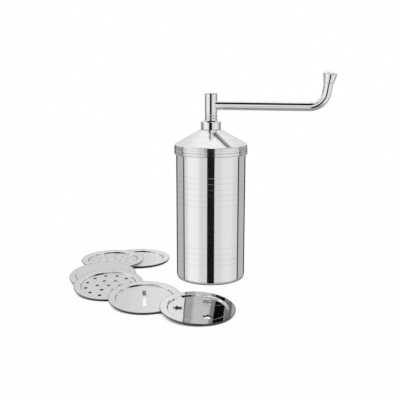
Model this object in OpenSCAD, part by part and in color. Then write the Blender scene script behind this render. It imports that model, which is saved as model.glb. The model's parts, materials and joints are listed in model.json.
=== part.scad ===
// Hand-cranked sevai maker: a stainless steel noodle press with six loose die plates.
// The barrel stands on z = 0 with its axis on +Z. Turning the crank screws the spindle
// through the bush in the lid, and the spindle carries the pressing disc up and down.
// The model is at rest with the disc screwed right down.

/* [Barrel] */
// Outside diameter of the barrel
barrel_od = 72.4; // [66:0.2:80]
// Thickness of the barrel's sheet
barrel_wall = 1; // [0.7:0.1:1.4]
// Height of the barrel's rim above its foot
barrel_h = 141.4; // [120:0.2:170]
// Outside radius of the bend between the barrel's wall and its foot
foot_bend = 3; // [1.6:0.1:3.4]
// Diameter of the outlet in the foot
outlet_d = 60; // [54:0.5:64]
// Height of the rolled beads on the barrel's neck
neck_bead = 0.4; // [0.2:0.05:0.5]

/* [Turned rings on the barrel] */
// Height of the highest ring of the upper group
upper_rings_z = 111.3; // [60:0.1:115]
// Number of rings in the upper group
upper_rings = 6; // [1:1:8]
// Height of the highest ring of the lower group
lower_rings_z = 38.2; // [30:0.1:60]
// Number of rings in the lower group
lower_rings = 4; // [1:1:5]
// Distance between neighbouring rings
ring_pitch = 5.8; // [3:0.1:6.5]
// Width of each ring's groove
ring_w = 0.6; // [0.3:0.1:1.2]
// Depth of each ring's groove
ring_depth = 0.06; // [0.05:0.01:0.4]

/* [Lid] */
// Thickness of the lid's sheet
lid_sheet = 0.8; // [0.6:0.1:1]
// Slope of the lid's cone
cone_slope = 30; // [20:1:35]
// Height of the lid's skirt
skirt_h = 9.7; // [9:0.1:14]
// Height of the beads rolled into the skirt
skirt_bead = 0.45; // [0.2:0.05:0.6]
// Height of the skirt's wide upper bead
upper_bead_w = 4.4; // [3:0.1:4.6]
// Height of the skirt's narrow lower bead
lower_bead_w = 3; // [2:0.1:3.4]
// Height of the skirt's straight lip below its lower bead
skirt_lip = 0.1; // [0.05:0.05:0.5]
// Outside radius of the bend between cone and skirt
shoulder_bend = 1.4; // [1.1:0.1:2]
// Radius of the flat land on top of the cone
land_r = 11; // [10.8:0.1:14]

/* [Lid bush] */
// Diameter of the bush's collar
collar_d = 20.8; // [18:0.2:21.4]
// Height of the bush's collar
collar_h = 8; // [5:0.5:12]
// Diameter of the bush's shank
shank_d = 15; // [13.5:0.5:16]
// Thickness of the washer that backs the lid's sheet
backing_t = 1.5; // [1:0.1:2.5]
// Diameter of that washer
backing_d = 21; // [18:0.5:21.4]
// Width across the flats of the nut that clamps the bush
lock_nut_af = 20; // [18:0.5:22]
// Height of that nut
lock_nut_h = 5; // [4:0.5:6]
// Length of the shank below the nut
shank_tail = 1.5; // [0.5:0.5:3]

/* [Spindle] */
// Outside diameter of the spindle's thread
spindle_d = 10; // [8:0.5:11]
// Diameter of the spindle's head inside the hub
head_d = 8; // [7:0.5:8.5]
// Diameter of the journal at the spindle's foot
journal_d = 7; // [6:0.5:7.5]
// Length of the journal below the retaining nut
journal_tail = 1; // [0.5:0.5:2]
// Gap between the lid's collar and the crank's hub when the disc is down
hub_gap = 1; // [0.5:0.1:3]

/* [Crank hub] */
// Diameter of the hub
hub_d = 12.9; // [11.5:0.1:15]
// Height of the hub
hub_h = 27.6; // [26:0.2:36]
// How far the hub's foot stands out
hub_foot_lip = 0.45; // [0.2:0.05:1]
// Height of the hub's foot
hub_foot_h = 0.9; // [0.6:0.1:2]
// Height over which the foot narrows to the hub
hub_foot_taper = 0.3; // [0.1:0.1:1]
// Height of the band between the foot and the lower groove
hub_band_h = 0.9; // [0.5:0.1:2]
// Width of the lower turned groove
hub_low_groove_w = 2.1; // [1.5:0.1:3]
// Height of the ring between the grooves
hub_ring_h = 1; // [0.5:0.1:1.5]
// Width of the upper turned groove
hub_high_groove_w = 3; // [1.5:0.1:3]
// Depth of the two grooves
hub_groove_depth = 0.35; // [0.1:0.05:0.8]
// Height of the slopes at both sides of a groove
hub_groove_side = 0.5; // [0.2:0.1:0.7]
// Thickness of metal over the spindle's head
hub_crown = 5; // [3:0.5:7]

/* [Crank arm] */
// Diameter of the arm's rod
arm_d = 9.2; // [7:0.2:9.4]
// Height of the arm above the hub's foot
arm_rise = 15.6; // [14:0.1:17]
// Distance from the spindle's axis to the start of the bend
arm_straight = 100; // [80:0.2:130]
// Radius of the bend at the rod's centre
arm_bend_r = 16.5; // [12:0.5:24]
// Angle that the rod turns through at the bend
arm_bend = 82; // [70:1:90]
// Length of straight rod after the bend
arm_tip = 16.8; // [14:0.2:24]
// Direction of the arm, turned from +X
arm_heading = -12; // [-30:1:30]
// Diameter of the arm's spigot through hub and spindle
spigot_d = 4; // [3:0.2:5]

/* [Grip cap] */
// Diameter of the cap's mouth
cap_mouth_d = 10.2; // [10:0.1:12]
// Diameter of the cap's wide end
cap_end_d = 13.8; // [12:0.2:17]
// Length of the cap
cap_l = 11.2; // [11:0.2:14]
// Straight height of the cap's lip
cap_lip = 0.3; // [0.1:0.1:1]
// Radius that rounds the cap's wide end
cap_round = 2; // [0.8:0.1:3]
// Radius of the cap's domed end
cap_dome_r = 24; // [10:0.5:30]
// Length of rod inside the cap
cap_grip = 8; // [5:0.5:9]

/* [Pressing disc] */
// Thickness of the disc's sheet
disc_sheet = 1.5; // [1:0.1:2]
// Height of the disc's rim
disc_rim = 11; // [6:0.5:14]
// Outside radius of the bend between disc and rim
disc_bend = 3; // [2.2:0.1:4]
// Height of the disc above a seated die plate when it is screwed down
disc_gap = 0.5; // [0.3:0.1:3]
// Diameter of the boss's flange
flange_d = 36; // [32:1:44]
// Thickness of the boss's flange
flange_t = 2; // [1.5:0.1:3]
// Diameter of the boss
boss_d = 20; // [18.5:0.5:22]
// Height of the boss with its flange
boss_h = 14; // [12.5:0.5:18]
// Height of the bevel where the boss stands on its flange
boss_foot = 1; // [0.5:0.1:1.5]
// Thickness of the boss's crown around the journal
boss_crown = 5; // [3:0.5:5.5]
// Diameter of the rivets' shanks
rivet_d = 3.6; // [3:0.1:4.2]
// Diameter of the rivets' heads
rivet_head_d = 6.4; // [5:0.1:6.8]
// Height of the rivets' heads
rivet_head_h = 1.6; // [1:0.1:2]
// Number of rivets
rivets = 3; // [3:1:6]
// Thickness of the thrust washer
washer_t = 1.2; // [0.8:0.1:2]
// Diameter of the thrust washer
washer_d = 15; // [12:0.5:18]
// Width across the flats of the retaining nut
retaining_nut_af = 11; // [10:0.5:12]
// Height of the retaining nut
retaining_nut_h = 5; // [3:0.5:6]

/* [Die plates] */
// Thickness of the plates' sheet
plate_sheet = 0.8; // [0.6:0.1:1]
// Depth that the middle of a plate is pressed down
dish_depth = 2; // [1.9:0.1:2.6]
// Steepness of the pressed wall
dish_slope = 60; // [50:1:70]
// Inside radius of the plates' bends
dish_bend = 0.4; // [0.2:0.1:0.6]
// Diameter of the holes in the fine plate
fine_hole_d = 1.2; // [1:0.1:1.6]
// Distance from the fine plate's outer ring of holes to the edge of its floor
fine_margin = 9; // [4:0.5:14]
// Diameter of the holes in the small-hole plate
small_hole_d = 1.9; // [1.5:0.1:2.5]
// Distance from the small-hole plate's outer ring of holes to the edge of its floor
small_margin = 2.6; // [2:0.1:6]
// Diameter of the holes in the large-hole plate
large_hole_d = 3.8; // [3:0.1:5]
// Distance from the large-hole plate's outer ring of holes to the edge of its floor
large_margin = 4; // [3:0.5:7]
// Length of the ribbon plate's slot
slot_l = 34; // [20:1:40]
// Width of the ribbon plate's slot
slot_w = 3.6; // [2:0.1:3.8]
// Direction of the slot
slot_heading = 96; // [60:1:120]
// Distance of the star holes from the middle of their plate
star_r = 18; // [12:0.5:20]
// Radius of the round middle of a star hole
star_core_r = 3.1; // [3:0.1:3.6]
// Radius of each petal of a star hole
star_petal_r = 1.4; // [1:0.1:1.6]
// Distance of the petals' centres outside the round middle
star_petal_out = 0.3; // [0.1:0.1:0.6]
// Number of petals of a star hole
star_petals = 5; // [4:1:8]

/* [Edges] */
// Width of the bevels on turned edges
edge_bevel = 0.4; // [0.2:0.1:0.6]

/* [Clearances] */
// Gap round a die plate in the barrel
plate_clear = 0.2; // [0.1:0.05:0.5]
// Gap round a die plate's dish in the outlet
dish_clear = 1; // [0.5:0.1:2]
// Gap round the pressing disc in the barrel
disc_clear = 0.35; // [0.3:0.05:0.8]
// Gap between the barrel's neck beads and the lid's skirt
skirt_clear = 0.3; // [0.3:0.05:0.6]
// Gap between the barrel's rim and the cone that rests on it
seat_clear = 0.1; // [0.05:0.05:0.3]
// Running clearance on the radius of the spindle in the bush and the journal in the boss
run_clear = 0.06; // [0.02:0.01:0.1]
// End play between faces that turn on each other
end_play = 0.15; // [0.1:0.05:0.3]
// Clearance of parts that are pressed or screwed together
fit_clear = 0.02; // [0.01:0.01:0.05]
// Gap round the retaining nut in the boss
nut_room = 0.6; // [0.3:0.1:1]
// Gap that keeps the leaning plates off what they lean on
fan_clear = 0.25; // [0.15:0.05:0.5]
// Gap between two plates that lie flat on each other
flat_clear = 0.05; // [0.02:0.01:0.1]

/* [Hidden] */
$fn = 96;

// Distance that a cut runs past the face that it starts from
eps = 0.05;

// Barrel
barrel_r = barrel_od / 2;
bore_r = barrel_r - barrel_wall;
outlet_r = outlet_d / 2;

// Lid. The cone rests on the outer edge of the barrel's rim.
skirt_r = barrel_r + neck_bead + skirt_clear + lid_sheet;
sheet_rise = lid_sheet / cos(cone_slope);
shoulder_z = barrel_h + seat_clear + sheet_rise - (skirt_r - barrel_r) * tan(cone_slope);
land_z = shoulder_z + (skirt_r - land_r) * tan(cone_slope);
skirt_z = shoulder_z - skirt_h;
lower_bead_z = skirt_z + skirt_lip + lower_bead_w / 2;
upper_bead_z = lower_bead_z + (lower_bead_w + upper_bead_w) / 2;

// Bush, from the top of its collar down
collar_top_z = land_z + collar_h;
backing_z = land_z - lid_sheet - backing_t;
lock_nut_z = backing_z - lock_nut_h;
shank_z = lock_nut_z - shank_tail;
shank_r = shank_d / 2;

// A die plate in the barrel seats on the inner side of the foot's bend
plate_r = bore_r - plate_clear;
plate_overhang = max(0, plate_r - (barrel_r - foot_bend));
plate_seat_z = foot_bend - sqrt(pow(foot_bend - barrel_wall, 2) - pow(plate_overhang, 2));

// Pressing disc and boss, from the seated plate up
disc_z = plate_seat_z + plate_sheet + disc_gap;
disc_top_z = disc_z + disc_sheet;
disc_r = bore_r - disc_clear;
boss_top_z = disc_top_z + boss_h;
boss_roof_z = boss_top_z - boss_crown;
washer_z = boss_top_z;
rivet_pcd_r = (boss_d + flange_d) / 4;

// Spindle and crank
spindle_r = spindle_d / 2;
journal_r = journal_d / 2;
journal_top_z = washer_z + washer_t + end_play;
retaining_nut_z = boss_roof_z - end_play - retaining_nut_h;
journal_z = retaining_nut_z - journal_tail;
hub_z = collar_top_z + hub_gap;
hub_top_z = hub_z + hub_h;
head_top_z = hub_top_z - hub_crown;
hub_r = hub_d / 2;
hub_foot_z = hub_z + hub_foot_h;
low_groove_z = hub_foot_z + hub_foot_taper + hub_band_h;
high_groove_z = low_groove_z + hub_low_groove_w + hub_ring_h;
arm_z = hub_z + arm_rise;
arm_r = arm_d / 2;

// Die plates
dish_r = outlet_r - dish_clear;
plate_h = dish_depth + plate_sheet;
outer_bend = dish_bend + plate_sheet;
wall_run = (outer_bend + dish_bend) * sin(dish_slope)
    + (dish_depth - (outer_bend + dish_bend) * (1 - cos(dish_slope))) / tan(dish_slope);
dish_floor_r = dish_r - wall_run;

// Holes in each ring of a plate, from the innermost ring out
FINE_HOLES = [6, 12, 18];
SMALL_HOLES = [5, 10, 12];
LARGE_HOLES = [6, 12];

// How the loose plates lie. Each row gives the middle of a plate across and along the
// table in plate diameters, the height of its middle in plate heights, how steeply it
// leans in plate heights to a plate radius, and the direction that it leans up towards.
FAN = [
    [-1.17,   0.78, 0,    0,    0],
    [-1.58,   0.57, 1,    0,    0],
    [-1.63,  -0.20, 1.21, 1.21, 86],
    [-1.48,  -0.68, 1.11, 1.43, 91],
    [-0.92,  -1.18, 0.91, 1.18, 102],
    [-0.195, -1.57, 0.78, 1.01, 128]
];

// ---- Outlines ----

// Points along an arc about c, from one angle to another
function arc(c, r, from, to, steps = 5) =
    [for (i = [0:steps])
        let (a = from + (to - from) * i / steps)
        c + r * [cos(a), sin(a)]];

// Points along a rolled bead on a straight wall of radius r, centred on height z,
// after the point that the bead starts from
function bead(r, z, out, width, steps = 8) =
    [for (i = [1:steps])
        [r + out * (1 - cos(360 * i / steps)) / 2, z + width * (i / steps - 0.5)]];

// Unit vector to the left of v
function left_of(v) = [-v[1], v[0]] / norm(v);

// Point i of a path, moved t to the left of the path
function beside(path, i, t) =
    let (last = len(path) - 1,
         before = left_of(path[max(i, 1)] - path[max(i, 1) - 1]),
         after = left_of(path[min(i + 1, last)] - path[min(i, last - 1)]),
         mid = before + after)
    path[i] + 2 * t * mid / (mid * mid);

// Section of bent sheet whose one face follows the path and whose thickness is t
function sheet(path, t) =
    concat(path, [for (i = [len(path) - 1:-1:0]) beside(path, i, t)]);

// ---- Shapes that repeat ----

module spun(path, t) {
    rotate_extrude() polygon(sheet(path, t));
}

module tube(r_out, r_in, z, h) {
    difference() {
        translate([0, 0, z]) cylinder(r = r_out, h = h);
        translate([0, 0, z - eps]) cylinder(r = r_in, h = h + 2 * eps);
    }
}

module hex_nut(across_flats, hole_r, z, h) {
    difference() {
        translate([0, 0, z]) cylinder(r = across_flats / 2 / cos(30), h = h, $fn = 6);
        translate([0, 0, z - eps]) cylinder(r = hole_r, h = h + 2 * eps);
    }
}

// Things spread evenly round the axis at radius r
module ring_of(count, r, first = 0) {
    for (i = [0:count - 1])
        rotate(first + 360 * i / count) translate([r, 0, 0]) children();
}

// ---- Barrel ----

// Turned groove in the barrel's outer face
module ring_groove(z) {
    rotate_extrude() polygon([
        [barrel_r - ring_depth, z],
        [barrel_r + eps, z - ring_w / 2],
        [barrel_r + eps, z + ring_w / 2]
    ]);
}

module barrel() {
    outside = concat(
        [[outlet_r, 0]],
        arc([barrel_r - foot_bend, foot_bend], foot_bend, -90, 0),
        [[barrel_r, lower_bead_z - lower_bead_w / 2]],
        bead(barrel_r, lower_bead_z, neck_bead, lower_bead_w),
        bead(barrel_r, upper_bead_z, neck_bead, upper_bead_w),
        [[barrel_r, barrel_h]]
    );
    color("silver") difference() {
        spun(outside, barrel_wall);
        for (i = [0:upper_rings - 1]) ring_groove(upper_rings_z - i * ring_pitch);
        for (i = [0:lower_rings - 1]) ring_groove(lower_rings_z - i * ring_pitch);
    }
}

// ---- Lid ----

module lid_cone() {
    outside = concat(
        [[shank_r + fit_clear, land_z], [land_r, land_z]],
        shoulder(),
        [[skirt_r, upper_bead_z + upper_bead_w / 2]],
        bead(skirt_r, upper_bead_z, skirt_bead, -upper_bead_w),
        bead(skirt_r, lower_bead_z, skirt_bead, -lower_bead_w),
        [[skirt_r, skirt_z]]
    );
    color("gainsboro") spun(outside, -lid_sheet);
}

// Rounded corner between the cone and the skirt
function shoulder() =
    let (drop = shoulder_bend * tan((90 - cone_slope) / 2))
    arc([skirt_r - shoulder_bend, shoulder_z - drop], shoulder_bend, 90 - cone_slope, 0);

module lid_bush() {
    color("lightgray") difference() {
        rotate_extrude() polygon([
            [0, shank_z],
            [shank_r - edge_bevel, shank_z],
            [shank_r, shank_z + edge_bevel],
            [shank_r, land_z],
            [collar_d / 2 - edge_bevel, land_z],
            [collar_d / 2, land_z + edge_bevel],
            [collar_d / 2, collar_top_z - edge_bevel],
            [collar_d / 2 - edge_bevel, collar_top_z],
            [0, collar_top_z]
        ]);
        translate([0, 0, shank_z - eps])
            cylinder(r = spindle_r + run_clear, h = collar_top_z - shank_z + 2 * eps);
    }
}

module backing_washer() {
    color("darkgray") tube(backing_d / 2, shank_r + fit_clear, backing_z, backing_t);
}

module bush_lock_nut() {
    color("dimgray") hex_nut(lock_nut_af, shank_r + fit_clear, lock_nut_z, lock_nut_h);
}

// ---- Spindle and crank ----

// Turns its children to the arm's direction, at the height of the arm
module at_arm() {
    translate([0, 0, arm_z]) rotate([0, 0, arm_heading]) children();
}

// The spindle's thread is a plain cylinder at the thread's outside diameter
module spindle() {
    color("slategray") difference() {
        union() {
            translate([0, 0, journal_z]) cylinder(r = journal_r, h = journal_top_z - journal_z + eps);
            translate([0, 0, journal_top_z]) cylinder(r = spindle_r, h = hub_z - journal_top_z);
            translate([0, 0, hub_z - eps]) cylinder(r = head_d / 2, h = head_top_z - hub_z + eps);
        }
        at_arm() rotate([0, 90, 0])
            cylinder(r = spigot_d / 2 + fit_clear, h = spindle_d, center = true);
    }
}

// Points along a turned groove in the hub, from its foot up
function hub_groove(z, width) = [
    [hub_r, z],
    [hub_r - hub_groove_depth, z + hub_groove_side],
    [hub_r - hub_groove_depth, z + width - hub_groove_side],
    [hub_r, z + width]
];

module crank_hub() {
    foot_r = hub_r + hub_foot_lip;
    color("gainsboro") difference() {
        rotate_extrude() polygon(concat(
            [[0, hub_z], [foot_r - edge_bevel / 2, hub_z], [foot_r, hub_z + edge_bevel / 2]],
            [[foot_r, hub_foot_z], [hub_r, hub_foot_z + hub_foot_taper]],
            hub_groove(low_groove_z, hub_low_groove_w),
            hub_groove(high_groove_z, hub_high_groove_w),
            [[hub_r, hub_top_z - edge_bevel], [hub_r - edge_bevel, hub_top_z], [0, hub_top_z]]
        ));
        translate([0, 0, hub_z - eps])
            cylinder(r = head_d / 2 + fit_clear, h = head_top_z - hub_z + fit_clear + eps);
        at_arm() rotate([0, 90, 0]) cylinder(r = spigot_d / 2 + fit_clear, h = hub_d);
    }
}

module crank_arm() {
    color("gainsboro") {
        difference() {
            at_arm() rotate([0, 90, 0]) cylinder(r = arm_r, h = arm_straight);
            translate([0, 0, arm_z]) cylinder(r = hub_r + fit_clear, h = 3 * arm_d, center = true);
        }
        // Spigot through the hub's wall and the spindle's head
        at_arm() translate([-head_d / 2, 0, 0]) rotate([0, 90, 0])
            cylinder(r = spigot_d / 2, h = head_d / 2 + hub_r + arm_r);
        at_arm() at_bend() rotate_extrude(angle = arm_bend)
            translate([arm_bend_r, 0]) circle(r = arm_r);
        // The tip is fit_clear / 2 thicker, so that it closes over the end of the bend
        at_arm() at_tip() translate([0, 0, -eps]) cylinder(r = arm_r + fit_clear / 2, h = arm_tip + eps);
    }
}

// Stands the bend's revolve up, so that it starts where the straight rod ends
module at_bend() {
    translate([arm_straight, 0, arm_bend_r]) rotate([90, 0, 0]) rotate(-90) children();
}

// Moves its children to the end of the bend, with +Z along the rod
module at_tip() {
    at_bend() rotate(arm_bend) translate([arm_bend_r, 0, 0]) rotate([-90, 0, 0]) children();
}

module grip_cap() {
    mouth_r = cap_mouth_d / 2;
    // The round edge runs on into the dome where both slope at round_end
    edge_r = cap_end_d / 2 - cap_round;
    round_end = acos(edge_r / (cap_dome_r - cap_round));
    dome_z = cap_l - cap_dome_r;
    edge_z = dome_z + (cap_dome_r - cap_round) * sin(round_end);
    flare = atan((cap_end_d / 2 - mouth_r) / (edge_z - cap_lip));
    color("white") at_arm() at_tip() translate([0, 0, arm_tip - cap_grip]) difference() {
        rotate_extrude() polygon(concat(
            [[0, 0], [mouth_r - cap_lip / 2, 0], [mouth_r, cap_lip]],
            arc([edge_r, edge_z], cap_round, -flare, round_end),
            arc([0, dome_z], cap_dome_r, round_end, 90)
        ));
        translate([0, 0, -eps]) cylinder(r = arm_r + fit_clear, h = cap_grip + fit_clear + eps);
    }
}

module retaining_nut() {
    color("dimgray") hex_nut(retaining_nut_af, journal_r + fit_clear, retaining_nut_z, retaining_nut_h);
}

// ---- Pressing disc ----

module pressing_disc() {
    underside = concat(
        [[0, disc_z]],
        arc([disc_r - disc_bend, disc_z + disc_bend], disc_bend, -90, 0),
        [[disc_r, disc_z + disc_rim]]
    );
    color("silver") difference() {
        spun(underside, disc_sheet);
        ring_of(rivets, rivet_pcd_r) translate([0, 0, disc_z - eps])
            cylinder(r = rivet_d / 2 + fit_clear, h = disc_sheet + 2 * eps);
    }
}

module disc_boss() {
    cavity_r = retaining_nut_af / 2 / cos(30) + nut_room;
    color("darkgray") difference() {
        rotate_extrude() polygon([
            [0, disc_top_z],
            [flange_d / 2, disc_top_z],
            [flange_d / 2, disc_top_z + flange_t],
            [boss_d / 2 + boss_foot, disc_top_z + flange_t],
            [boss_d / 2, disc_top_z + flange_t + boss_foot],
            [boss_d / 2, boss_top_z - edge_bevel],
            [boss_d / 2 - edge_bevel, boss_top_z],
            [0, boss_top_z]
        ]);
        translate([0, 0, disc_top_z - eps]) cylinder(r = cavity_r, h = boss_roof_z - disc_top_z + eps);
        translate([0, 0, disc_top_z]) cylinder(r = journal_r + run_clear, h = boss_h + eps);
        ring_of(rivets, rivet_pcd_r) translate([0, 0, disc_top_z - eps])
            cylinder(r = rivet_d / 2 + fit_clear, h = flange_t + 2 * eps);
    }
}

// Rivets with domed heads above the flange and their tails flush below the disc
module disc_rivets() {
    head_z = disc_top_z + flange_t;
    head_r = rivet_head_d / 2;
    dome_r = (head_r * head_r + rivet_head_h * rivet_head_h) / (2 * rivet_head_h);
    color("dimgray") ring_of(rivets, rivet_pcd_r) {
        translate([0, 0, disc_z]) cylinder(r = rivet_d / 2, h = disc_sheet + flange_t + eps);
        intersection() {
            translate([0, 0, head_z + rivet_head_h - dome_r]) sphere(r = dome_r);
            translate([0, 0, head_z]) cylinder(r = rivet_head_d, h = rivet_head_h + eps);
        }
    }
}

module thrust_washer() {
    color("goldenrod") tube(washer_d / 2, journal_r + run_clear, washer_z, washer_t);
}

// ---- Die plates ----

// Plate with its middle pressed down, its floor on z = 0
module dished_plate() {
    underside = concat(
        [[0, 0]],
        arc([dish_floor_r, outer_bend], outer_bend, -90, dish_slope - 90, 4),
        arc([dish_r, dish_depth - dish_bend], dish_bend, 90 + dish_slope, 90, 3),
        [[plate_r, dish_depth]]
    );
    spun(underside, plate_sheet);
}

// Round holes in even rings, counted from the innermost, out to a margin inside the dish
module hole_field(hole_d, counts, margin) {
    step = (dish_floor_r - margin) / len(counts);
    for (k = [0:len(counts) - 1])
        ring_of(counts[k], step * (k + 1), 180 * k / counts[k])
            translate([0, 0, -eps]) cylinder(r = hole_d / 2, h = plate_sheet + 2 * eps);
}

module star_hole() {
    translate([0, 0, -eps]) linear_extrude(plate_sheet + 2 * eps) {
        circle(r = star_core_r);
        ring_of(star_petals, star_core_r + star_petal_out) circle(r = star_petal_r);
    }
}

// Lays a plate in the fan
module fanned(k) {
    place = FAN[k];
    clear = place[2] == 0 ? 0 : place[3] == 0 ? flat_clear : fan_clear;
    translate([
        place[0] * 2 * plate_r,
        place[1] * 2 * plate_r,
        place[2] * plate_h + clear
    ])
        rotate(place[4])
            rotate([0, -atan(place[3] * plate_h / plate_r), 0])
                rotate(-place[4]) children();
}

module fine_hole_plate() {
    color("lightgray") fanned(0) difference() {
        dished_plate();
        hole_field(fine_hole_d, FINE_HOLES, fine_margin);
    }
}

module small_hole_plate() {
    color("gainsboro") fanned(1) difference() {
        dished_plate();
        hole_field(small_hole_d, SMALL_HOLES, small_margin);
    }
}

// This one lies face down
module blank_plate() {
    color("lightgray") fanned(2) translate([0, 0, plate_h]) rotate([180, 0, 0]) dished_plate();
}

module large_hole_plate() {
    color("gainsboro") fanned(3) difference() {
        dished_plate();
        hole_field(large_hole_d, LARGE_HOLES, large_margin);
        translate([0, 0, -eps]) cylinder(r = large_hole_d / 2, h = plate_sheet + 2 * eps);
    }
}

module ribbon_plate() {
    half = (slot_l - slot_w) / 2;
    color("lightgray") fanned(4) difference() {
        dished_plate();
        rotate(slot_heading) translate([0, 0, -eps]) {
            for (x = [-half, half]) translate([x, 0, 0]) cylinder(r = slot_w / 2, h = plate_sheet + 2 * eps);
            translate([-half, -slot_w / 2, 0]) cube([2 * half, slot_w, plate_sheet + 2 * eps]);
        }
    }
}

module star_plate() {
    color("silver") fanned(5) difference() {
        dished_plate();
        ring_of(3, star_r, 180) star_hole();
    }
}

barrel();
lid_cone();
lid_bush();
backing_washer();
bush_lock_nut();
spindle();
crank_hub();
crank_arm();
grip_cap();
pressing_disc();
disc_boss();
disc_rivets();
thrust_washer();
retaining_nut();
fine_hole_plate();
small_hole_plate();
blank_plate();
large_hole_plate();
ribbon_plate();
star_plate();
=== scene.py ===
"""Stainless steel sevai maker: finishes, thread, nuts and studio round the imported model."""

import json
import math

import bmesh
import bpy
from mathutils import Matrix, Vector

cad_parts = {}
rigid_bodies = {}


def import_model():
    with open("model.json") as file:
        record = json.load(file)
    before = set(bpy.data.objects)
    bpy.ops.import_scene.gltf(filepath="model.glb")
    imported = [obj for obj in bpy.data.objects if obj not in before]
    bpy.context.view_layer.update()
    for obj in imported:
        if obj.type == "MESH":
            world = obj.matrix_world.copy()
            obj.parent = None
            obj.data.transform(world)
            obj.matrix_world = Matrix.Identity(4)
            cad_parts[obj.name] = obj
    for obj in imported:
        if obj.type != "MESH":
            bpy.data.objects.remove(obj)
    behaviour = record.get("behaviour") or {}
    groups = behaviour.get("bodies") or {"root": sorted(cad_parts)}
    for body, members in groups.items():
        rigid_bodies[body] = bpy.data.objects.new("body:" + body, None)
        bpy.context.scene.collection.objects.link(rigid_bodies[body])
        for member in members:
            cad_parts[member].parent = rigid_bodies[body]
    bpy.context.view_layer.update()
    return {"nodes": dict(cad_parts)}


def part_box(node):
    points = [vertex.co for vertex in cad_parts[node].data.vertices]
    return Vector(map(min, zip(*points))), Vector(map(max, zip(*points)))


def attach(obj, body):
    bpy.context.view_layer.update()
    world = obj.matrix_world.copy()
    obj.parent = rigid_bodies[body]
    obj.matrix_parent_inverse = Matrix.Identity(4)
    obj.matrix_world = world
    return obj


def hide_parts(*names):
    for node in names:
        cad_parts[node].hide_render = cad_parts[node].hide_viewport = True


bl_info = {
    "name": "Sevai maker",
    "version": (1, 0, 0),
    "blender": (4, 5, 0),
    "location": "3D View > Sidebar > Sevai maker",
    "description": "Dresses a hand-cranked sevai maker in polished steel",
    "category": "Object",
}

for leftover in list(bpy.data.objects):
    bpy.data.objects.remove(leftover)
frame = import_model()

MM = 0.001
MICRON = 0.000001


# ---- Settings ----


class StageSettings(bpy.types.PropertyGroup):
    """Camera and floor."""

    camera_place: bpy.props.FloatVectorProperty(
        name="Camera place",
        description="Where the camera stands",
        default=(-0.0113, -0.6733, 0.2227),
        unit="LENGTH",
        subtype="TRANSLATION",
    )
    camera_pitch: bpy.props.FloatProperty(
        name="Camera pitch",
        description="How far the camera looks down",
        default=math.radians(11.78),
        subtype="ANGLE",
    )
    lens: bpy.props.FloatProperty(
        name="Lens",
        description="Focal length of the camera",
        default=58.54,
        unit="CAMERA",
    )
    contact_reach: bpy.props.FloatProperty(
        name="Contact shadow",
        description="How far the dark line under a piece spreads on the floor",
        default=3 * MM,
        unit="LENGTH",
    )
    lifted_height: bpy.props.FloatProperty(
        name="Lifted height",
        description="Height from which a lifted plate no longer darkens the floor",
        default=14 * MM,
        unit="LENGTH",
    )


class SteelSettings(bpy.types.PropertyGroup):
    """Colours of the metals."""

    steel: bpy.props.FloatVectorProperty(
        name="Stainless steel",
        description="Colour of the polished sheet and rod",
        default=(0.85, 0.85, 0.845),
        subtype="COLOR",
    )
    turned: bpy.props.FloatVectorProperty(
        name="Turned steel",
        description="Colour of the nuts, the boss and the rivets",
        default=(0.62, 0.62, 0.61),
        subtype="COLOR",
    )
    greased: bpy.props.FloatVectorProperty(
        name="Greased steel",
        description="Colour in the roots of the spindle's thread",
        default=(0.3, 0.28, 0.25),
        subtype="COLOR",
    )
    brass: bpy.props.FloatVectorProperty(
        name="Brass",
        description="Colour of the thrust washer",
        default=(0.74, 0.52, 0.2),
        subtype="COLOR",
    )


class ThreadSettings(bpy.types.PropertyGroup):
    """Sizes of the spindle's thread."""

    pitch: bpy.props.FloatProperty(
        name="Pitch",
        description="How far the spindle rises in one turn",
        default=4 * MM,
        unit="LENGTH",
    )
    depth: bpy.props.FloatProperty(
        name="Depth",
        description="Depth of the thread",
        default=1.2 * MM,
        unit="LENGTH",
    )


def metals():
    """The colours of the metals."""
    return bpy.context.scene.sevai_steel


# ---- Node expressions ----


class Value:
    """A socket that can be used in arithmetic. Each step adds a Math node."""

    def __init__(self, nodes, socket):
        self.nodes = nodes
        self.socket = socket

    def __add__(self, other):
        return self.nodes.math("ADD", self, other)

    __radd__ = __add__

    def __sub__(self, other):
        return self.nodes.math("SUBTRACT", self, other)

    def __rsub__(self, other):
        return self.nodes.math("SUBTRACT", other, self)

    def __mul__(self, other):
        return self.nodes.math("MULTIPLY", self, other)

    __rmul__ = __mul__

    def __truediv__(self, other):
        return self.nodes.math("DIVIDE", self, other)

    def other(self, name):
        """Another output of the same node."""
        return Value(self.nodes, self.socket.node.outputs[name])


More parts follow.
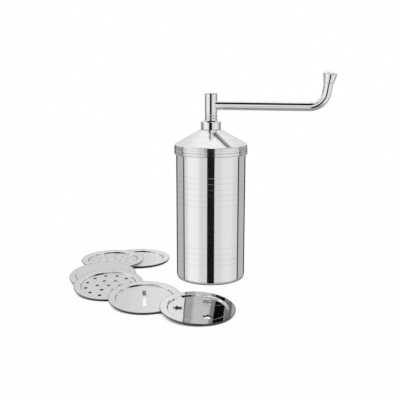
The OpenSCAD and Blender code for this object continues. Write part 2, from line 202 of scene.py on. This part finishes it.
class Nodes:
    """Adds nodes to one node tree."""

    def __init__(self, tree):
        self.tree = tree
        tree.nodes.clear()

    def node(self, kind, settings=None, inputs=None, output=0):
        """Adds a node, applies its settings, sets or links its sockets and returns one output."""
        node = self.tree.nodes.new(kind)
        for name, value in (settings or {}).items():
            setattr(node, name, value)
        for name, value in (inputs or {}).items():
            socket = node.inputs[name]
            if isinstance(value, Value):
                self.tree.links.new(value.socket, socket)
            else:
                socket.default_value = value
        return Value(self, node.outputs[output]) if node.outputs else node

    def math(self, operation, *values, clamp=False):
        """A Math node on numbers or links."""
        settings = {"operation": operation, "use_clamp": clamp}
        return self.node("ShaderNodeMath", settings, dict(enumerate(values)))

    def smooth(self, value, start, end):
        """Rises softly from 0 to 1 between start and end."""
        settings = {"interpolation_type": "SMOOTHSTEP"}
        return self.node("ShaderNodeMapRange", settings, {0: value, 1: start, 2: end})

    def band(self, value, low, high, soft):
        """1 between low and high and 0 outside, with soft edges."""
        past_low = self.smooth(value, low - soft, low + soft)
        return past_low * (1 - self.smooth(value, high - soft, high + soft))

    def blend(self, factor, first, second):
        """Mixes two numbers."""
        return self.node("ShaderNodeMix", {"data_type": "FLOAT"}, {0: factor, 2: first, 3: second})

    def blend_colours(self, factor, first, second):
        """Mixes two colours."""
        inputs = {0: factor, 6: first, 7: second}
        return self.node("ShaderNodeMix", {"data_type": "RGBA"}, inputs, output=2)

    def split(self, vector):
        """The three parts of a vector."""
        x = self.node("ShaderNodeSeparateXYZ", inputs={0: vector})
        return x, x.other("Y"), x.other("Z")

    def join(self, x, y, z):
        """A vector from its three parts."""
        return self.node("ShaderNodeCombineXYZ", inputs={0: x, 1: y, 2: z})

    def noise(self, place, scale, detail=2):
        """Soft noise from 0 to 1, with about scale lumps to a metre."""
        inputs = {"Vector": place, "Scale": scale, "Detail": detail}
        return self.node("ShaderNodeTexNoise", inputs=inputs)

    def open_sky(self, reach, samples=16):
        """Share of the directions in which nothing stands within reach."""
        kind, inputs = "ShaderNodeAmbientOcclusion", {"Distance": reach}
        return self.node(kind, {"samples": samples}, inputs, output="AO")


# ---- Studio ----

# Share of the light that polished steel sends back
STEEL_SHARE = 0.85

# The studio as polished metal sees it. A tone is what steel shows there, from 0 to 255.
LIT_WALL, UPPER_WALL, CEILING, FLOOR_TONE = 212, 226, 246, 150
# Elevations in degrees between which the lit wall turns into each of the others
UPPER_WALL_RISE, CEILING_RISE, FLOOR_FALL = (0, 6), (28, 60), (-30, -55)

# Panels on those walls, each over the ones before it: two azimuths and two elevations in
# degrees, how many degrees its edges take, and its tone. Azimuths count from the front, -Y,
# to the right, +X.
PANELS = {
    # Round the press, as its barrel sees it
    "left soft box": (-84, -40, -42, 12, 10, 238),
    "right soft box": (36, 78, -42, 12, 11, 226),
    "left side wall": (-200, -106, -42, 5, 3, 180),
    "right side wall": (106, 200, -42, 5, 3, 180),
    "left upper side wall": (-160, -106, 4, 20, 3, 180),
    "right upper side wall": (106, 160, 4, 20, 3, 180),
    "left edge flag": (-105, -98.5, -42, 20, 1.5, 50),
    "right edge flag": (99.5, 106.5, -42, 20, 1.5, 50),
    "left back wall": (-200, -148, -28, -5, 2, 62),
    "right back wall": (146, 200, -28, -5, 2, 62),
    # Level with the hub and its collar
    "left hub wall": (-147, -96, -7, 6, 2, 150),
    "right hub wall": (97, 172, -7, 6, 2, 158),
    # Higher up, as the mirror plate sees it in the barrel
    "left sky": (-150, -80, 24, 34, 3, 240),
    "left reflector": (-80, -40, 24, 34, 2, 168),
    "left screen": (-85, -79, 24, 34, 1, 110),
    "front reflector": (-48, 12, 24, 34, 9, 204),
    "right screen": (12, 27, 24, 34, 6, 128),
    "right flag": (26, 66, 18, 40, 3, 4),
    "right window": (66, 102, 24, 34, 4, 112),
    "right far wall": (102, 150, 24, 34, 4, 174),
    # Straight in front
    "front flag": (-12.8, 11.4, -42, 10, 0.7, 20),
    "hub flag": (-22, 6, -6.4, -1.9, 0.7, 10),
    # Behind, as the plates' faces see it
    "left back wall above": (-175, -165, 12, 36, 1.5, 206),
    "right back wall above": (165, 175, 12, 36, 1.5, 206),
    # Overhead, as the dishes and the crank arm see it
    "side flag": (-8, 82, 35, 52, 3, 20),
    "overhead flag": (-42, -9, 39, 88, 2, 4),
    "dish flag": (-60, 40, 33.5, 47, 1.5, 8),
    "left overhead flag": (-108, -42, 66, 84, 3, 80),
}
# Most degrees that a panel's upper and lower edges take
SHELF_SOFT = 1.5


def light_of(tone):
    """Brightness of a panel that polished steel shows at the tone, by the sRGB curve."""
    share = tone / 255
    linear = share / 12.92 if share <= 0.04045 else ((share + 0.055) / 1.055) ** 2.4
    return linear / STEEL_SHARE


def studio_world():
    """White to the camera, and soft boxes and flags to polished metal."""
    world = bpy.data.worlds.new("studio")
    bpy.context.scene.world = world
    world.use_nodes = True
    nodes = Nodes(world.node_tree)
    x, y, z = nodes.split(nodes.node("ShaderNodeTexCoord", output="Generated"))
    azimuth = nodes.math("ARCTAN2", x, y * -1) * math.degrees(1)
    elevation = nodes.math("ARCSINE", z) * math.degrees(1)

    light = light_of(LIT_WALL)
    walls = ((UPPER_WALL_RISE, UPPER_WALL), (CEILING_RISE, CEILING), (FLOOR_FALL, FLOOR_TONE))
    for (start, end), tone in walls:
        light = nodes.blend(nodes.smooth(elevation, start, end), light, light_of(tone))
    for left, right, low, high, soft, tone in PANELS.values():
        shelf = nodes.band(elevation, low, high, min(soft, SHELF_SOFT))
        panel = nodes.band(azimuth, left, right, soft) * shelf
        light = nodes.blend(panel, light, light_of(tone))

    glossy = nodes.node("ShaderNodeLightPath", output="Is Glossy Ray")
    plain = nodes.node("ShaderNodeBackground", inputs={"Color": (1, 1, 1, 1), "Strength": 1})
    shown = nodes.node("ShaderNodeBackground", inputs={"Color": light, "Strength": 1})
    mixed = nodes.node("ShaderNodeMixShader", inputs={0: glossy, 1: plain, 2: shown})
    nodes.node("ShaderNodeOutputWorld", inputs={"Surface": mixed})


# Width of the camera's sensor in millimetres
SENSOR_WIDTH = 36
# Half the width of the floor, and how far it lies below what stands on it
FLOOR_HALF, FLOOR_DROP = 3, 0.1 * MM
# Shares of open sky between which the floor goes from dark to white, first close to a
# piece and then under the plates
NEAR_SKY, PLATE_SKY = (0.1, 0.62), (0.06, 0.45)
# Share of the floor's colour that glows white but for its painted shadow. The rest takes the
# studio's light.
EVEN_WHITE = 0.93


def floor_material(stage):
    """White with a painted shadow under the pieces, and clear to polished metal and from below."""
    material = bpy.data.materials.new("floor")
    material.use_nodes = True
    nodes = Nodes(material.node_tree)
    # Painted shadow: the floor's glow darkens close to a piece and under the plates
    lit = nodes.smooth(nodes.open_sky(stage.contact_reach, samples=24), *NEAR_SKY)
    lit = lit * nodes.smooth(nodes.open_sky(stage.lifted_height), *PLATE_SKY)
    white = nodes.node("ShaderNodeEmission", inputs={"Color": lit, "Strength": 1})
    paper = nodes.node("ShaderNodeBsdfDiffuse", inputs={"Color": (1, 1, 1, 1)})
    seen = nodes.node("ShaderNodeMixShader", inputs={0: EVEN_WHITE, 1: paper, 2: white})
    clear = nodes.node("ShaderNodeBsdfTransparent")
    glossy = nodes.node("ShaderNodeLightPath", output="Is Glossy Ray")
    below = nodes.node("ShaderNodeNewGeometry", output="Backfacing")
    hidden = nodes.math("MAXIMUM", glossy, below)
    mixed = nodes.node("ShaderNodeMixShader", inputs={0: hidden, 1: seen, 2: clear})
    nodes.node("ShaderNodeOutputMaterial", inputs={"Surface": mixed})
    return material


class SEVAI_OT_stage(bpy.types.Operator):
    """Builds the floor, the studio and the camera"""

    bl_idname = "sevai.stage"
    bl_label = "Stage"

    def execute(self, context):
        stage = context.scene.sevai_stage
        mesh = bpy.data.meshes.new("floor")
        signs = ((-1, -1), (1, -1), (1, 1), (-1, 1))
        corners = [(x * FLOOR_HALF, y * FLOOR_HALF, 0) for x, y in signs]
        mesh.from_pydata(corners, [], [(0, 1, 2, 3)])
        mesh.materials.append(floor_material(stage))
        floor = bpy.data.objects.new("floor", mesh)
        floor.location.z = -FLOOR_DROP
        context.scene.collection.objects.link(floor)
        studio_world()

        camera = bpy.data.objects.new("camera", bpy.data.cameras.new("camera"))
        context.scene.collection.objects.link(camera)
        camera.data.lens = stage.lens
        camera.data.sensor_width = SENSOR_WIDTH
        camera.location = stage.camera_place
        camera.rotation_euler = (math.pi / 2 - stage.camera_pitch, 0, 0)
        context.scene.camera = camera
        context.scene.view_settings.view_transform = "Standard"
        return {"FINISHED"}


# ---- Finishes ----

# Radius at which patterns run round the barrel and the disc
TUBE_RADIUS = 36 * MM
# Share of its colour that a metal keeps where it is darkest
DARKEST = 0.1
# Painted shade on the cut walls of a plate's holes, which makes the holes look dark
HOLE_SHADE = 0.05
# Painted shade along a plate's rim: the band's width, the soft start of its shade, and the shade
EDGE_WIDTH, EDGE_SOFT, EDGE_SHADE = 1.2 * MM, 0.7 * MM, 0.62
# Distances from the axis between which the thread goes from greased to bright
GREASED_TO, BRIGHT_FROM = 4.1 * MM, 4.9 * MM


class Finish(Nodes):
    """Node tree of one metal's finish."""

    def __init__(self, name):
        self.material = bpy.data.materials.new(name)
        self.material.use_nodes = True
        super().__init__(self.material.node_tree)
        self.place = self.node("ShaderNodeTexCoord", output="Object")
        self.x, self.y, self.z = self.split(self.place)

    def from_axis(self, centre=(0, 0)):
        """Distance from an upright axis and the angle round it."""
        across = self.x - centre[0]
        along = self.y - centre[1]
        distance = self.math("SQRT", across * across + along * along)
        return distance, self.math("ARCTAN2", along, across)

    def relief(self, *layers, facing=None):
        """Normal from layers of height, each a value from 0 to 1 and its size in metres."""
        scaled = [value * (size / MICRON) for value, size in layers]
        height = sum(scaled[1:], scaled[0])
        inputs = {"Strength": 1, "Distance": MICRON, "Height": height}
        if facing:
            inputs["Normal"] = facing
        return self.node("ShaderNodeBump", inputs=inputs)

    def slopes(self, low, high, soft=0.03):
        """1 on the slopes of turned grooves and beads, where they tilt by low to high.

        An upright wall has a tilt of 0 and a level face has a tilt of 1.
        """
        _, _, up = self.split(self.node("ShaderNodeNewGeometry", output="True Normal"))
        return self.band(self.math("ABSOLUTE", up), low, high, soft)

    def buffed(self, share, steepest=0.5):
        """Normal of an upright wall whose shallow grooves and beads are buffed down to a share."""
        across, along, up = self.split(self.node("ShaderNodeNewGeometry", output="Normal"))
        is_wall = 1 - self.smooth(self.math("ABSOLUTE", up), steepest - 0.1, steepest + 0.1)
        facing = self.join(across, along, up * (1 - is_wall * (1 - share)))
        return self.node("ShaderNodeVectorMath", {"operation": "NORMALIZE"}, {0: facing})

    def painted_gap_shade(self, reach, dark, closed=0.15, clear=0.65):
        """Painted shade: falls from 1 in the open to dark in narrow gaps, where little light gets
        in.
        """
        return self.blend(self.smooth(self.open_sky(reach), closed, clear), dark, 1)

    def pressed(self):
        """0 on the cut walls of a plate's holes and 1 on its faces."""
        _, _, up = self.split(self.node("ShaderNodeNewGeometry", output="True Normal"))
        return self.smooth(self.math("ABSOLUTE", up), 0.15, 0.4)

    def between(self, shade, dark, bright):
        """Colour that goes from dark to bright with the shade."""
        return self.blend_colours(shade, (*dark, 1), (*bright, 1))

    def shaded(self, colour, shade):
        """A metal's colour, all but black where the shade is 0."""
        return self.between(shade, [DARKEST * part for part in colour], colour)

    def metal(self, colour, roughness, normal):
        """Ends the tree in a metal shader and returns the material."""
        inputs = {"Base Color": colour, "Metallic": 1, "Roughness": roughness, "Normal": normal}
        shader = self.node("ShaderNodeBsdfPrincipled", inputs=inputs)
        self.node("ShaderNodeOutputMaterial", inputs={"Surface": shader})
        return self.material


def barrel_finish():
    """Polished tube: fine lines round it, faint waves in the sheet and a few soft smudges."""
    finish = Finish("barrel_steel")
    distance, angle = finish.from_axis()
    around = angle * TUBE_RADIUS
    # The lines run round the tube, so they are stretched that way, and the waves upwards
    along_lines = finish.join(around * 0.02, distance * 0.02, finish.z)
    lines = finish.noise(along_lines, scale=9000, detail=2)
    waves = finish.noise(finish.join(around, distance, finish.z * 0.12), scale=55, detail=1)
    smudges = finish.noise(finish.place, scale=70, detail=3)
    roughness = finish.blend(smudges, 0.045, 0.085)
    # Painted shade on the slopes of the turned rings
    shade = finish.blend(lines, 0.965, 1.0) * (1 - finish.slopes(0.1, 0.4) * 0.28)
    layers = (lines, 0.12 * MICRON), (waves, 9 * MICRON)
    relief = finish.relief(*layers, facing=finish.buffed(0.5))
    return finish.metal(finish.shaded(metals().steel, shade), roughness, relief)


def spun_finish():
    """Spun cone: rings that the spinning tool left, deeper than on the barrel."""
    finish = Finish("lid_steel")
    distance, angle = finish.from_axis()
    # Hardly anything changes round the cone, so the noise makes rings
    rings = finish.noise(finish.join(distance, angle * 0.2 * MM, finish.z), scale=900, detail=3)
    swells = finish.noise(finish.join(distance, angle * 2 * MM, finish.z), scale=260, detail=1)
    smudges = finish.noise(finish.place, scale=60, detail=3)
    roughness = finish.blend(smudges, 0.08, 0.14)
    shade = finish.blend(rings, 0.76, 1.12) * finish.blend(swells, 0.84, 1.12)
    # Painted shade in narrow gaps
    shade = shade * finish.painted_gap_shade(1.5 * MM, dark=0.35)
    # Painted shade on the slopes of the beads, deeper on their undersides than on their tops
    _, _, up = finish.split(finish.node("ShaderNodeNewGeometry", output="True Normal"))
    is_under = finish.smooth(0 - up, 0, 0.1)
    shade = shade * (1 - finish.slopes(0.2, 0.6) * finish.blend(is_under, 0.12, 0.36))
    layers = (rings, 1.6 * MICRON), (swells, 9 * MICRON)
    relief = finish.relief(*layers, facing=finish.buffed(0.25))
    return finish.metal(finish.shaded(metals().steel, shade), roughness, relief)


def bright_finish(name="bright_steel", groove_shade=0, groove_share=1):
    """Buffed rod and turned parts: a mirror with faint waves and painted shade in narrow gaps."""
    finish = Finish(name)
    waves = finish.noise(finish.place, scale=120, detail=1)
    hairs = finish.noise(finish.place, scale=1500, detail=2)
    smudges = finish.noise(finish.place, scale=90, detail=3)
    roughness = finish.blend(smudges, 0.03, 0.07)
    # Painted shade in narrow gaps
    gaps = finish.painted_gap_shade(0.9 * MM, dark=0.1, closed=0.3, clear=0.8)
    shade = finish.blend(hairs, 0.96, 1.0) * gaps
    # Painted shade on the slopes of turned grooves, as deep as groove_shade
    shade = shade * (1 - finish.slopes(0.3, 0.9, soft=0.05) * groove_shade)
    buffed = finish.buffed(groove_share, steepest=0.85)
    relief = finish.relief((waves, 6 * MICRON), facing=buffed)
    return finish.metal(finish.shaded(metals().steel, shade), roughness, relief)


def hub_finish():
    """The buffed finish with painted shade on the slopes of the turned grooves."""
    return bright_finish("hub_steel", groove_shade=0.5, groove_share=0.35)


def turned_finish():
    """Lathe work left as cut: fine rings and a dull shine."""
    finish = Finish("turned_steel")
    distance, angle = finish.from_axis()
    rings = finish.noise(finish.join(distance, angle * 0.1 * MM, finish.z), scale=4000, detail=2)
    stains = finish.noise(finish.place, scale=220, detail=4)
    roughness = finish.blend(stains, 0.2, 0.38)
    shade = finish.blend(rings, 0.86, 1.0) * finish.blend(stains, 0.9, 1.0)
    # Painted shade in narrow gaps
    shade = shade * finish.painted_gap_shade(1.5 * MM, dark=0.3)
    relief = finish.relief((rings, 1.5 * MICRON))
    return finish.metal(finish.shaded(metals().turned, shade), roughness, relief)


def brass_finish():
    """Plain brass with a little tarnish."""
    finish = Finish("washer_brass")
    distance, angle = finish.from_axis()
    rings = finish.noise(finish.join(distance, angle * 0.1 * MM, finish.z), scale=5000, detail=2)
    tarnish = finish.noise(finish.place, scale=350, detail=4)
    roughness = finish.blend(tarnish, 0.16, 0.34)
    shade = finish.blend(tarnish, 0.8, 1.0)
    relief = finish.relief((rings, 1.2 * MICRON))
    return finish.metal(finish.shaded(metals().brass, shade), roughness, relief)


def painted_rim_shade(finish, plate):
    """Painted shade: falls below 1 in a band along a plate's rim."""
    low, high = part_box(plate)
    distance, _ = finish.from_axis(((low.x + high.x) / 2, (low.y + high.y) / 2))
    edge = (high.x - low.x) / 2 - EDGE_WIDTH
    return finish.blend(finish.smooth(distance - edge, 0, EDGE_SOFT), 1, EDGE_SHADE)


def plate_finish(plate):
    """Pressed sheet: the grain of rolled steel, fine scratches and a soft shine."""
    finish = Finish(plate + "_steel")
    # The grain is stretched in the direction in which the sheet was rolled
    along_grain = finish.join(finish.x * 0.04, finish.y, finish.z)
    grain = finish.noise(along_grain, scale=2600, detail=2)
    waves = finish.noise(finish.place, scale=38, detail=1)
    smudges = finish.noise(finish.place, scale=90, detail=3)
    roughness = finish.blend(smudges, 0.13, 0.22)
    # Painted shade: in narrow gaps and where a plate lies close over another, in a band along the
    # rim, and on the cut walls of the holes
    gaps = finish.painted_gap_shade(5 * MM, dark=0.1, closed=0.35, clear=0.85)
    shade = finish.blend(grain, 0.85, 1.03) * gaps
    shade = shade * painted_rim_shade(finish, plate)
    shade = shade * finish.blend(finish.pressed(), HOLE_SHADE, 1)
    relief = finish.relief((grain, 0.35 * MICRON), (waves, 60 * MICRON))
    return finish.metal(finish.shaded(metals().steel, shade), roughness, relief)


def mirror_finish(plate):
    """Mirror-polished plate, its sheet a little wavy from the press."""
    finish = Finish(plate + "_steel")
    waves = finish.noise(finish.place, scale=45, detail=1)
    smudges = finish.noise(finish.place, scale=120, detail=3)
    roughness = finish.blend(smudges, 0.015, 0.035)
    # Painted shade: in narrow gaps, on the cut walls of the holes and in a band along the rim
    gaps = finish.painted_gap_shade(3 * MM, dark=0.1, closed=0.35, clear=0.85)
    shade = gaps * finish.blend(finish.pressed(), HOLE_SHADE, 1)
    shade = shade * painted_rim_shade(finish, plate)
    relief = finish.relief((waves, 170 * MICRON))
    return finish.metal(finish.shaded(metals().steel, shade), roughness, relief)


def thread_finish():
    """Cut thread: bright crests worn by the bush, and grease in the roots."""
    finish = Finish("spindle_steel")
    distance, angle = finish.from_axis()
    crest = finish.smooth(distance, GREASED_TO, BRIGHT_FROM)
    round_crest = finish.join(angle * 5 * MM, distance, finish.z * 0.3)
    streaks = finish.noise(round_crest, scale=900, detail=3)
    roughness = finish.blend(crest, 0.36, 0.14) + streaks * 0.1
    bright = crest * finish.blend(streaks, 0.75, 1)
    colour = finish.between(bright, metals().greased, metals().turned)
    return finish.metal(colour, roughness, finish.relief((streaks, 2 * MICRON)))


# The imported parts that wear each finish. Spindle and nuts are made below and dressed there.
FINISHES = {
    barrel_finish: ("barrel", "pressing_disc"),
    spun_finish: ("lid_cone",),
    bright_finish: ("lid_bush", "crank_arm", "grip_cap"),
    hub_finish: ("crank_hub",),
    turned_finish: ("backing_washer", "disc_boss", "disc_rivets"),
    brass_finish: ("thrust_washer",),
    thread_finish: (),
}
PLATE_FINISHES = {
    "fine_hole_plate": plate_finish,
    "small_hole_plate": plate_finish,
    "blank_plate": plate_finish,
    "large_hole_plate": plate_finish,
    "ribbon_plate": plate_finish,
    "star_plate": mirror_finish,
}


class SEVAI_OT_finishes(bpy.types.Operator):
    """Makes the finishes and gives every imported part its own"""

    bl_idname = "sevai.finishes"
    bl_label = "Finishes"

    def execute(self, context):
        finished = [(make(), parts) for make, parts in FINISHES.items()]
        finished += [(make(plate), (plate,)) for plate, make in PLATE_FINISHES.items()]
        for material, parts in finished:
            for part in parts:
                mesh = frame["nodes"][part].data
                mesh.materials.clear()
                mesh.materials.append(material)
        # The loose plates aren't seen in the polish of the other pieces
        for plate in PLATE_FINISHES:
            frame["nodes"][plate].visible_glossy = False
        return {"FINISHED"}


# ---- Shapes ----

# Edges that bend by more than this stay sharp
SHARP_FROM = math.radians(30)
# How close two heights or radii have to be to count as one
TOLERANCE = 0.1 * MM


def add_piece(name, mesh, body, slot, *replaced):
    """Puts a finished mesh on the body that carries it."""
    mesh.materials.clear()
    mesh.materials.append(bpy.data.materials[slot])
    mesh.polygons.foreach_set("use_smooth", [True] * len(mesh.polygons))
    mesh.set_sharp_from_angle(angle=SHARP_FROM)
    piece = bpy.data.objects.new(name, mesh)
    bpy.context.scene.collection.objects.link(piece)
    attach(piece, body)
    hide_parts(*replaced)


def radius_near(node, low, high):
    """Largest distance from the upright axis of a node's points between two heights."""
    points = (vertex.co for vertex in frame["nodes"][node].data.vertices)
    return max(math.hypot(co.x, co.y) for co in points if low <= co.z <= high)


def add_rings(shape, rings, steps, closed=True):
    """Adds a surface through rings, each a function from an angle to a radius and a height.

    A closed surface also joins the last ring to the first.
    """
    rows = []
    for ring in rings:
        row = []
        for step in range(steps):
            angle = 2 * math.pi * step / steps
            radius, height = ring(angle)
            place = (radius * math.cos(angle), radius * math.sin(angle), height)
            row.append(shape.verts.new(place))
        rows.append(row)
    followers = rows[1:] + (rows[:1] if closed else [])
    for lower, upper in zip(rows, followers):
        for step in range(steps):
            after = (step + 1) % steps
            shape.faces.new((lower[step], lower[after], upper[after], upper[step]))


def finished_mesh(name, shape):
    """Closes a shape's seams and turns its faces outwards."""
    bmesh.ops.remove_doubles(shape, verts=shape.verts, dist=MICRON)
    bmesh.ops.dissolve_degenerate(shape, edges=shape.edges, dist=MICRON)
    bmesh.ops.recalc_face_normals(shape, faces=shape.faces)
    mesh = bpy.data.meshes.new(name)
    shape.to_mesh(mesh)
    shape.free()
    return mesh


# ---- Spindle ----

# Points round the spindle, and rows of points in one turn of its thread
SPINDLE_STEPS = 48
TURN_ROWS = 10
# Where the ridge starts and ends in one pitch, and how much of the pitch each flank takes
RIDGE_START, RIDGE_END, FLANK = 0.2, 0.7, 0.1
# Bevel of the spindle's two tips
TIP_BEVEL = 0.5 * MM


def thread_tree():
    """Geometry Nodes tree of a screw thread with a ridge that follows a right-hand helix."""
    tree = bpy.data.node_groups.new("thread", "GeometryNodeTree")
    nodes = Nodes(tree)
    sizes = ("Root radius", "Depth", "Pitch", "Bottom", "Top", "Bevel")
    for name in sizes:
        tree.interface.new_socket(name, in_out="INPUT", socket_type="NodeSocketFloat")
    tree.interface.new_socket("Material", in_out="INPUT", socket_type="NodeSocketMaterial")
    tree.interface.new_socket("Thread", in_out="OUTPUT", socket_type="NodeSocketGeometry")
    given = nodes.node("NodeGroupInput", output="Root radius")
    root, depth, pitch, bottom, top, bevel = (given.other(name) for name in sizes)

    # The rows follow the helix. They start a pitch below the thread, and end a pitch above it.
    turns = nodes.math("CEIL", (top - bottom) / pitch) + 1
    rows = turns * TURN_ROWS
    grid = nodes.node(
        "GeometryNodeMeshGrid",
        inputs={"Size X": 1, "Size Y": 1, "Vertices X": SPINDLE_STEPS + 1, "Vertices Y": rows + 1},
    )
    across, along, _ = nodes.split(nodes.node("GeometryNodeInputPosition"))
    around = across + 0.5
    row = (along + 0.5) * rows
    height = bottom + pitch * (row / TURN_ROWS + around - 1)
    height = nodes.math("MINIMUM", nodes.math("MAXIMUM", height, bottom), top)
    phase = nodes.math("FRACT", (height - bottom) / pitch - around + 1)
    rising = nodes.math("MULTIPLY", phase - RIDGE_START, 1 / FLANK, clamp=True)
    falling = nodes.math("MULTIPLY", RIDGE_END - phase, 1 / FLANK, clamp=True)
    # At both ends the ridge is bevelled off
    room = nodes.math("MINIMUM", height - bottom, top - height)
    radius = root + nodes.math("MINIMUM", depth * rising * falling, room * (depth / bevel))
    angle = around * (2 * math.pi)
    x, y = nodes.math("COSINE", angle) * radius, nodes.math("SINE", angle) * radius
    placed = {"Geometry": grid, "Position": nodes.join(x, y, height)}
    moved = nodes.node("GeometryNodeSetPosition", inputs=placed)
    seams = {"Geometry": moved, "Distance": 2 * MICRON}
    merged = nodes.node("GeometryNodeMergeByDistance", inputs=seams)
    solid = nodes.node("GeometryNodeRealizeInstances", inputs={0: merged})
    finish = {"Geometry": solid, "Material": given.other("Material")}
    dressed = nodes.node("GeometryNodeSetMaterial", inputs=finish)
    nodes.node("NodeGroupOutput", inputs={"Thread": dressed})
    return tree


def baked(tree, name, values):
    """Plain mesh that a Geometry Nodes tree makes from the values of its inputs."""
    carrier = bpy.data.objects.new(name, bpy.data.meshes.new(name))
    bpy.context.scene.collection.objects.link(carrier)
    modifier = carrier.modifiers.new(name, "NODES")
    modifier.node_group = tree
    for item in tree.interface.items_tree:
        if item.in_out == "INPUT" and item.name in values:
            modifier[item.identifier] = values[item.name]
    evaluated = carrier.evaluated_get(bpy.context.evaluated_depsgraph_get())
    mesh = bpy.data.meshes.new_from_object(evaluated)
    carrier.modifiers.clear()
    bpy.data.objects.remove(carrier)
    return mesh


class SEVAI_OT_spindle(bpy.types.Operator):
    """Cuts the spindle's thread"""

    bl_idname = "sevai.spindle"
    bl_label = "Spindle"

    def execute(self, context):
        thread = context.scene.sevai_thread
        low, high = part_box("spindle")
        journal_r = radius_near("spindle", low.z, low.z + TOLERANCE)
        head_r = radius_near("spindle", high.z - TOLERANCE, high.z)
        crest_r = radius_near("spindle", low.z, high.z)
        root_r = crest_r - thread.depth
        points = [vertex.co for vertex in frame["nodes"]["spindle"].data.vertices]
        thick = [co.z for co in points if math.hypot(co.x, co.y) > crest_r - TOLERANCE]
        bottom, top = min(thick), max(thick)
        values = {
            "Root radius": root_r,
            "Depth": thread.depth,
            "Pitch": thread.pitch,
            "Bottom": bottom,
            "Top": top,
            "Bevel": thread.depth,
            "Material": bpy.data.materials["spindle_steel"],
        }
        cut = baked(thread_tree(), "thread", values)
        shape = bmesh.new()
        shape.from_mesh(cut)
        bpy.data.meshes.remove(cut)
        # The journal below the thread and the head above it, each from its tip to the root
        for radius, tip, end in ((journal_r, low.z, bottom), (head_r, high.z, top)):
            shoulder = tip + math.copysign(TIP_BEVEL, end - tip)
            outline = [(0, tip), (radius - TIP_BEVEL, tip), (radius, shoulder)]
            outline += [(radius, end), (root_r, end)]
            rings = [lambda angle, point=point: point for point in outline]
            add_rings(shape, rings, SPINDLE_STEPS, closed=False)
        mesh = finished_mesh("spindle_screw", shape)
        add_piece("spindle_screw", mesh, "crank", "spindle_steel", "spindle")
        return {"FINISHED"}


# ---- Nuts ----

# Points round a nut
NUT_STEPS = 48
# Slope of the bevel on a nut's corners, and how much of the nut its flat face takes
CORNER_SLOPE, FACE_SHARE = math.radians(30), 0.96
# Bevel at both ends of a nut's hole
HOLE_BEVEL = 0.4 * MM
# Each nut's piece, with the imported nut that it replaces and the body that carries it
NUTS = {"lock_nut": ("bush_lock_nut", "lid"), "foot_nut": ("retaining_nut", "crank")}


def nut_shape(node):
    """Hexagonal nut with bevelled corners, on the place of a packed nut."""
    low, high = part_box(node)
    corner_r = max(high.x, high.y)
    flat_r = corner_r * math.cos(math.pi / 6)
    hole_r = min(math.hypot(v.co.x, v.co.y) for v in frame["nodes"][node].data.vertices)
    face_r = flat_r * FACE_SHARE
    # Angle of one of its corners
    first = 0 if high.x > high.y else math.pi / 6

    def side(angle):
        """Distance from the axis to the hexagon's side."""
        turned = (angle - first + math.pi / 6) % (math.pi / 3) - math.pi / 6
        return flat_r / math.cos(math.pi / 6 - abs(turned))

    def plain(radius, height):
        """A round ring."""
        return lambda angle: (radius, height)

    def rim(height, up):
        """The hexagon's edge, cut back from the face at the corners."""
        slope = up * math.tan(CORNER_SLOPE)
        return lambda angle: (side(angle), height - (side(angle) - face_r) * slope)

    rings = [
        plain(hole_r, low.z + HOLE_BEVEL),
        plain(hole_r + HOLE_BEVEL, low.z),
        plain(face_r, low.z),
        rim(low.z, -1),
        rim(high.z, 1),
        plain(face_r, high.z),
        plain(hole_r + HOLE_BEVEL, high.z),
        plain(hole_r, high.z - HOLE_BEVEL),
    ]
    shape = bmesh.new()
    add_rings(shape, rings, NUT_STEPS)
    return shape


class SEVAI_OT_nuts(bpy.types.Operator):
    """Bevels the bush's lock nut and the spindle's retaining nut"""

    bl_idname = "sevai.nuts"
    bl_label = "Nuts"

    def execute(self, context):
        for name, (node, body) in NUTS.items():
            add_piece(name, finished_mesh(name, nut_shape(node)), body, "turned_steel", node)
        return {"FINISHED"}


# ---- Add-on ----


class SEVAI_PT_panel(bpy.types.Panel):
    """Sevai maker"""

    bl_label = "Sevai maker"
    bl_idname = "SEVAI_PT_panel"
    bl_space_type = "VIEW_3D"
    bl_region_type = "UI"
    bl_category = "Sevai maker"

    def draw(self, context):
        for name, group in GROUPS.items():
            for setting in group.__annotations__:
                self.layout.prop(getattr(context.scene, name), setting)
        for operator in OPERATORS:
            self.layout.operator(operator.bl_idname)


OPERATORS = (SEVAI_OT_stage, SEVAI_OT_finishes, SEVAI_OT_spindle, SEVAI_OT_nuts)
GROUPS = {
    "sevai_stage": StageSettings,
    "sevai_steel": SteelSettings,
    "sevai_thread": ThreadSettings,
}


def register():
    for group in GROUPS.values():
        bpy.utils.register_class(group)
    for name, group in GROUPS.items():
        setattr(bpy.types.Scene, name, bpy.props.PointerProperty(type=group))
    for operator in OPERATORS:
        bpy.utils.register_class(operator)
    bpy.utils.register_class(SEVAI_PT_panel)


def unregister():
    bpy.utils.unregister_class(SEVAI_PT_panel)
    for operator in OPERATORS:
        bpy.utils.unregister_class(operator)
    for name, group in GROUPS.items():
        delattr(bpy.types.Scene, name)
        bpy.utils.unregister_class(group)


def main():
    register()
    for operator in OPERATORS:
        group, name = operator.bl_idname.split(".")
        getattr(getattr(bpy.ops, group), name)()


if __name__ == "__main__":
    main()
